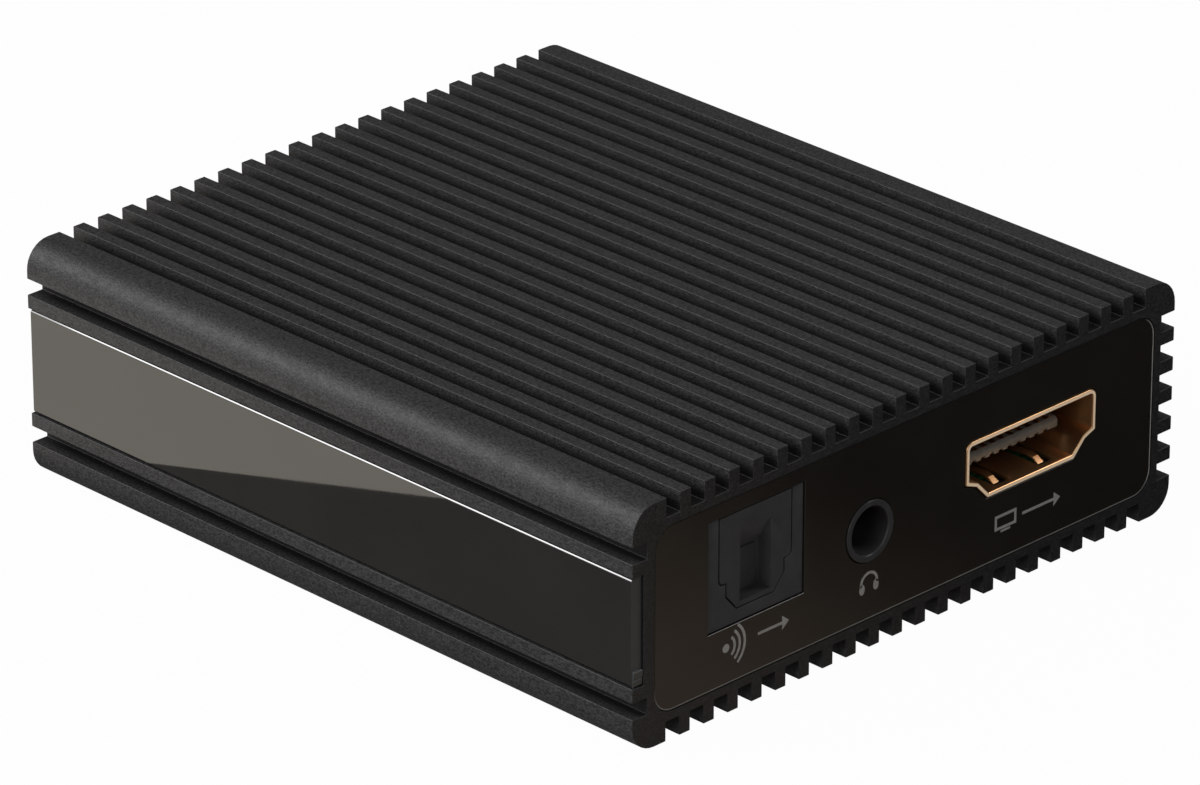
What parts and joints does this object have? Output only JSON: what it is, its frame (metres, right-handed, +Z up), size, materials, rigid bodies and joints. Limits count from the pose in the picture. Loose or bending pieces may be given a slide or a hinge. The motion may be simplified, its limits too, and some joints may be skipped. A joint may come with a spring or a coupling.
{
  "type": "hdmi audio extractor",
  "caption": "Small black finned metal box with glossy end panels, video sockets at both ends, a shuttered optical audio socket and a headphone socket.",
  "frame": {"origin": "on the table under the middle of the case", "axes": "+X along the output end towards the video output, -Y out of the output end, +Z up"},
  "size_m": [0.061, 0.069, 0.0206],
  "materials": {
    "case_metal": "black anodised, fine matt grain",
    "gloss_face": "polished black acrylic",
    "strip_gloss": "polished black acrylic, mirror bright",
    "plate": "black anodised sheet",
    "screw_steel": "zinc plated",
    "board": "green solder mask on glass fibre",
    "gold_plate": "gold plated sheet",
    "contact_gold": "gold plated contacts",
    "tongue": "dark grey moulded nylon",
    "moulding": "black moulded plastic, fine satin",
    "pin_steel": "bright drawn wire",
    "tin": "tinned bronze",
    "chip": "moulded epoxy",
    "pad": "soft grey silicone",
    "can": "bright drawn aluminium",
    "ceramic": "tan ceramic",
    "switch_sheet": "nickel plated sheet",
    "light": "clear cast, faintly green"
  },
  "bodies": {
    "case": {"finned_case": "case_metal", "side_strip": "strip_gloss", "output_face": "gloss_face", "output_plate": "plate", "output_plate_screws": "screw_steel", "input_face": "gloss_face", "input_plate": "plate", "input_plate_screws": "screw_steel", "circuit_board": "board", "thermal_pad": "pad", "video_output_shell": "gold_plate", "video_output_tongue": "tongue", "video_output_contacts": "contact_gold", "video_input_shell": "gold_plate", "video_input_tongue": "tongue", "video_input_contacts": "contact_gold", "optical_housing": "moulding", "shutter_pin": "pin_steel", "shutter_spring": "pin_steel", "optical_emitter": "chip", "optical_emitter_leads": "tin", "headphone_socket": "moulding", "headphone_contacts": "tin", "power_socket": "moulding", "power_pin": "tin", "power_contact": "tin", "mode_switch_cover": "switch_sheet", "mode_switch_base": "moulding", "mode_switch_terminals": "tin", "status_light": "light", "status_light_holder": "moulding", "video_chip": "chip", "video_chip_leads": "tin", "audio_chip": "chip", "audio_chip_leads": "tin", "clock_crystal": "can", "power_inductor": "chip", "voltage_regulator": "chip", "electrolytic_capacitors": "can", "ceramic_capacitors": "ceramic"},
    "shutter": {"optical_shutter": "moulding"},
    "mode_slider": {"mode_switch_slider": "moulding"}
  },
  "joints": [
    {"name": "shutter_hinge", "type": "hinge", "parent": "case", "child": "shutter", "pos_m": [-0.01706, -0.0333, 0.01545], "axis": [1, 0, 0], "range_deg": [0, 90], "stiffness_Nm_per_rad": 0.0003, "springref_deg": -68.75, "deforming": ["shutter_spring"]},
    {"name": "mode_slide", "type": "slide", "parent": "case", "child": "mode_slider", "axis": [1, 0, 0], "range_m": [-0.002, 0.002]}
  ]
}
